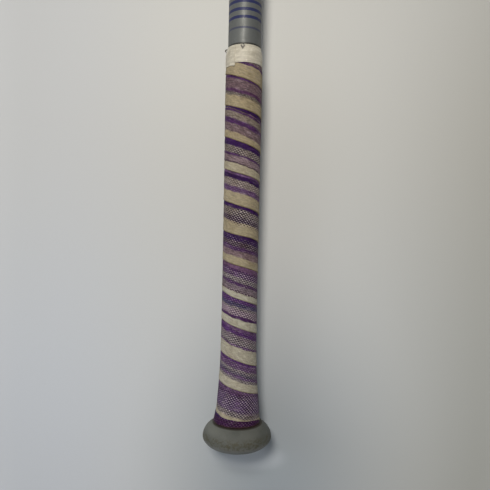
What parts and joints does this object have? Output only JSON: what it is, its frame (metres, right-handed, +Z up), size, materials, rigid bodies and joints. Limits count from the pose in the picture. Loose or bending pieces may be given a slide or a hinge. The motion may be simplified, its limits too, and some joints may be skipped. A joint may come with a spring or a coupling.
{
  "type": "baseball bat",
  "caption": "Composite baseball bat with a silver-grey tube, a rubbery knob, a spiral net-pattern grip tape and a white finishing tape.",
  "frame": {"origin": "centre of the knob's flat end face", "axes": "+Y along the bat from the knob to the barrel, +Z up as the bat lies, towards the side that the picture shows, +X to the right of the picture"},
  "size_m": [0.0656, 0.84, 0.0656],
  "materials": {
    "silver_paint": "silver-grey metallic lacquer over carbon and glass laminate, with plain navy bands",
    "knob_rubber": "matte grey moulded polyurethane, scuffed brown near its end",
    "grip_tape": "soft padded tape, cream along one edge, purple cross-hatched net along the other",
    "cloth_tape": "white woven cloth tape, a little wrinkled",
    "carbon_laminate": "bare carbon laminate",
    "black_rubber": "black elastomer",
    "cap_urethane": "moulded navy urethane, satin",
    "foam": "rigid damping foam"
  },
  "bodies": {
    "root": {"knob": "knob_rubber", "knob_plug": "black_rubber", "handle_tube": "silver_paint", "handle_foam_plug": "foam", "grip_wrap": "grip_tape", "finishing_tape": "cloth_tape", "joint_collar": "black_rubber", "connection_sleeve": "black_rubber", "barrel_shell": "silver_paint", "barrel_inner_sleeve": "carbon_laminate", "barrel_ring": "carbon_laminate", "end_cap": "cap_urethane"}
  },
  "joints": []
}
